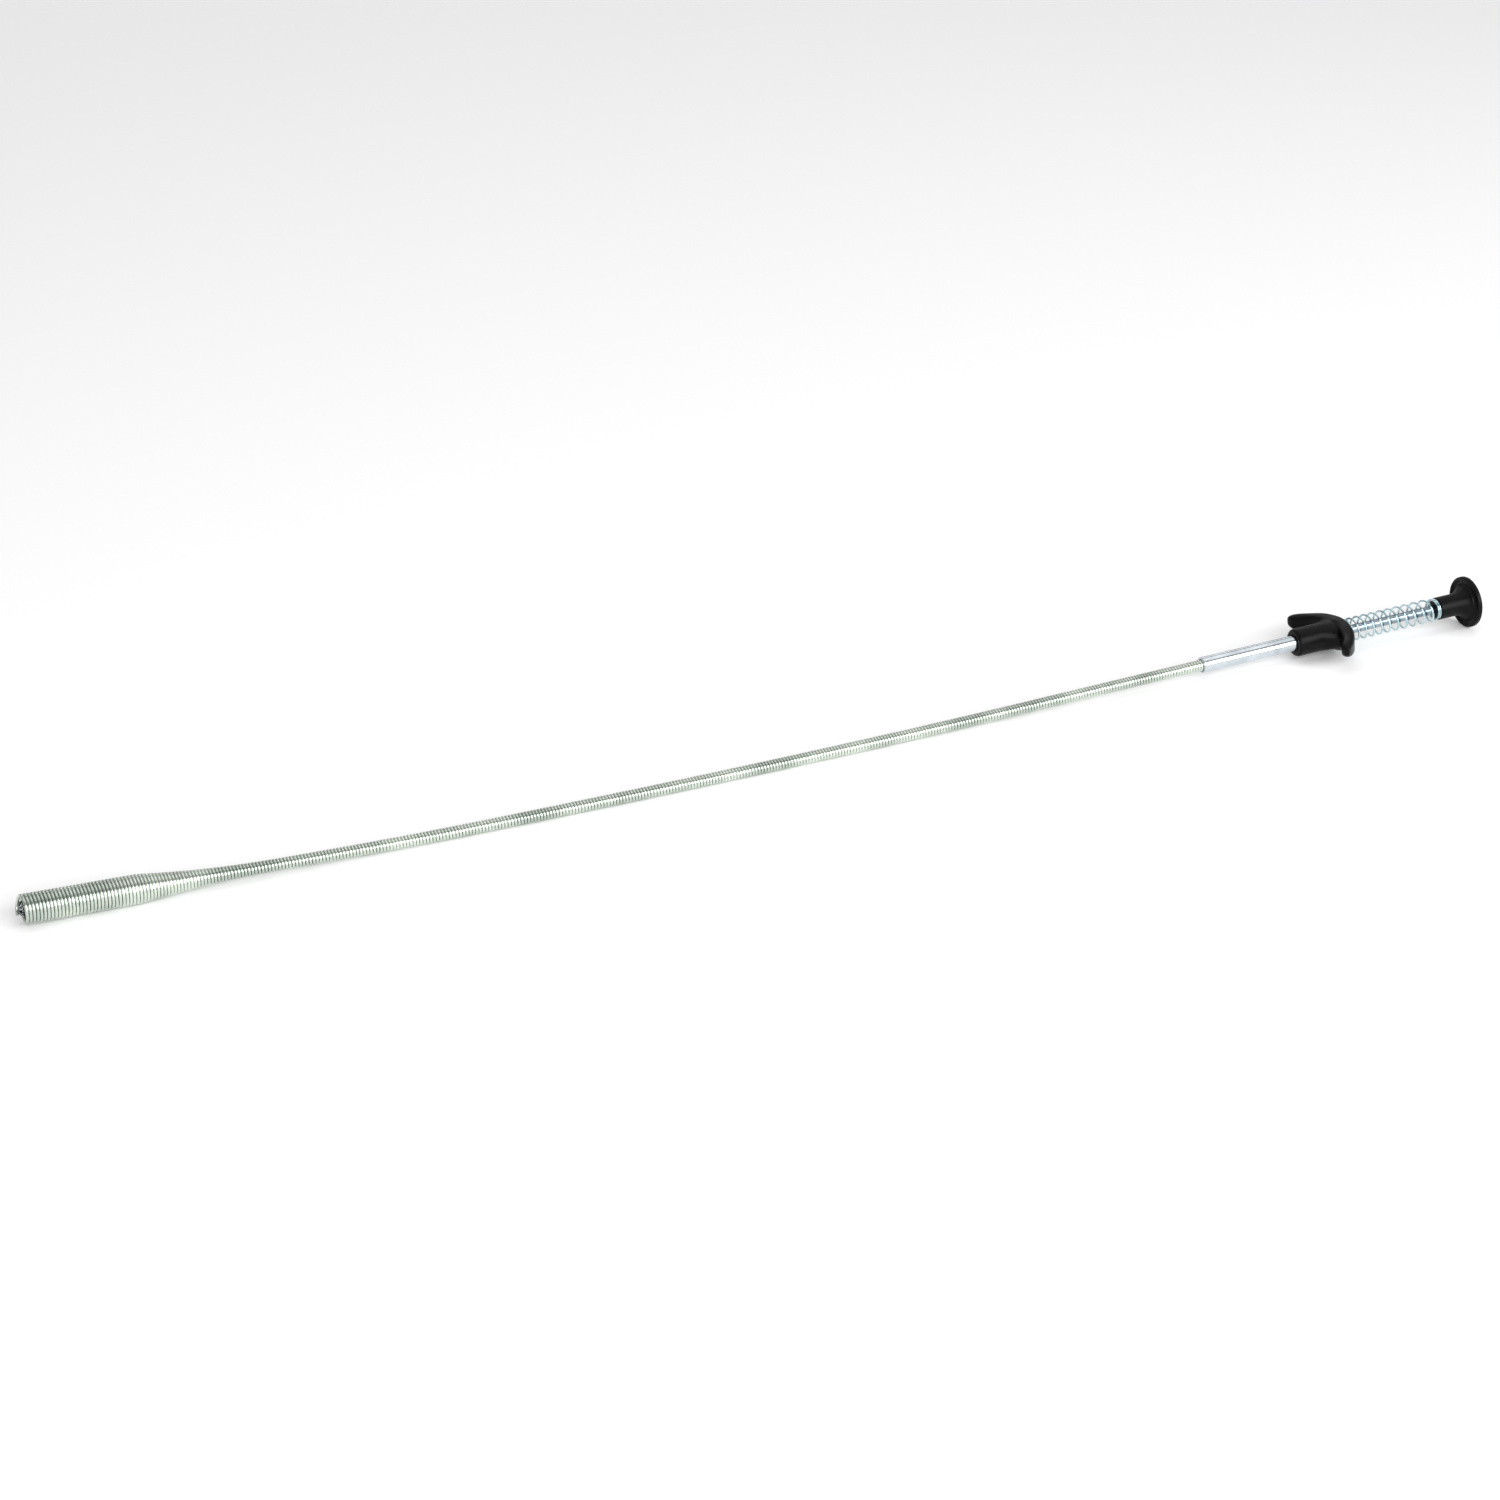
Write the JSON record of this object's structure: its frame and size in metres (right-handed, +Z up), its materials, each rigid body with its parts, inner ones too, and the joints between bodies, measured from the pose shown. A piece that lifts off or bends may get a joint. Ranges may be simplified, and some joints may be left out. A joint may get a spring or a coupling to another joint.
{
  "type": "drain auger",
  "caption": "Push-button drain auger: a flexible spring shaft with hidden spring claws, a finger grip, a return spring and a thumb knob.",
  "frame": {"origin": "middle of the bounding box in X and Y, on the table that the tool lies on", "axes": "+X from the claw head to the thumb knob, +Z up from the table"},
  "size_m": [0.61, 0.0449, 0.0211],
  "materials": {
    "black_plastic": "moulded, satin",
    "zinc_tube": "bright zinc plate, drawn tube",
    "zinc_spring_wire": "zinc-plated spring wire",
    "zinc_return_spring": "zinc-plated spring wire, blue passivated",
    "zinc_rod": "bright zinc plate, drawn rod",
    "steel_small_parts": "turned and crimped steel",
    "steel_cable": "drawn steel wire",
    "claw_wire": "polished spring wire"
  },
  "bodies": {
    "handle": {"finger_grip": "black_plastic", "guide_tube": "zinc_tube", "coil_shaft": "zinc_spring_wire", "coil_head": "zinc_spring_wire", "return_spring": "zinc_return_spring"},
    "plunger": {"plunger_rod": "zinc_rod", "thumb_knob": "black_plastic", "rod_stop_collar": "steel_small_parts", "cable_crimp": "steel_small_parts", "inner_cable": "steel_cable"},
    "claw_carrier": {"claw_ferrule": "steel_small_parts"},
    "claw_1": {"claw_finger_1": "claw_wire"},
    "claw_2": {"claw_finger_2": "claw_wire"},
    "claw_3": {"claw_finger_3": "claw_wire"},
    "claw_4": {"claw_finger_4": "claw_wire"}
  },
  "joints": [
    {"name": "plunger_slide", "type": "slide", "parent": "handle", "child": "plunger", "axis": [-0.9994, 0, -0.0349], "range_m": [0, 0.025], "stiffness_N_per_m": 480, "springref_m": -0.008, "deforming": ["return_spring", "inner_cable"]},
    {"name": "claw_slide", "type": "slide", "parent": "handle", "child": "claw_carrier", "axis": [-0.9995, 0.0052, 0.0297], "range_m": [0, 0.025]},
    {"name": "claw_splay_1", "type": "hinge", "parent": "claw_carrier", "child": "claw_1", "pos_m": [-0.27679, -0.00505, 0.00678], "axis": [0.0247, 0.707, 0.7068], "range_deg": [0, 18]},
    {"name": "claw_splay_2", "type": "hinge", "parent": "claw_carrier", "child": "claw_2", "pos_m": [-0.27685, -0.00505, 0.00494], "axis": [0.0173, -0.7072, 0.7068], "range_deg": [0, 18]},
    {"name": "claw_splay_3", "type": "hinge", "parent": "claw_carrier", "child": "claw_3", "pos_m": [-0.27683, -0.00321, 0.00494], "axis": [-0.0247, -0.707, -0.7068], "range_deg": [0, 18]},
    {"name": "claw_splay_4", "type": "hinge", "parent": "claw_carrier", "child": "claw_4", "pos_m": [-0.27678, -0.00321, 0.00678], "axis": [-0.0173, 0.7072, -0.7068], "range_deg": [0, 18]}
  ],
  "couplings": [
    {"joint": "claw_slide", "follows": "plunger_slide", "ratio": 1},
    {"joint": "claw_splay_1", "follows": "plunger_slide", "rad_per_m": 12.5},
    {"joint": "claw_splay_2", "follows": "plunger_slide", "rad_per_m": 12.5},
    {"joint": "claw_splay_3", "follows": "plunger_slide", "rad_per_m": 12.5},
    {"joint": "claw_splay_4", "follows": "plunger_slide", "rad_per_m": 12.5}
  ]
}
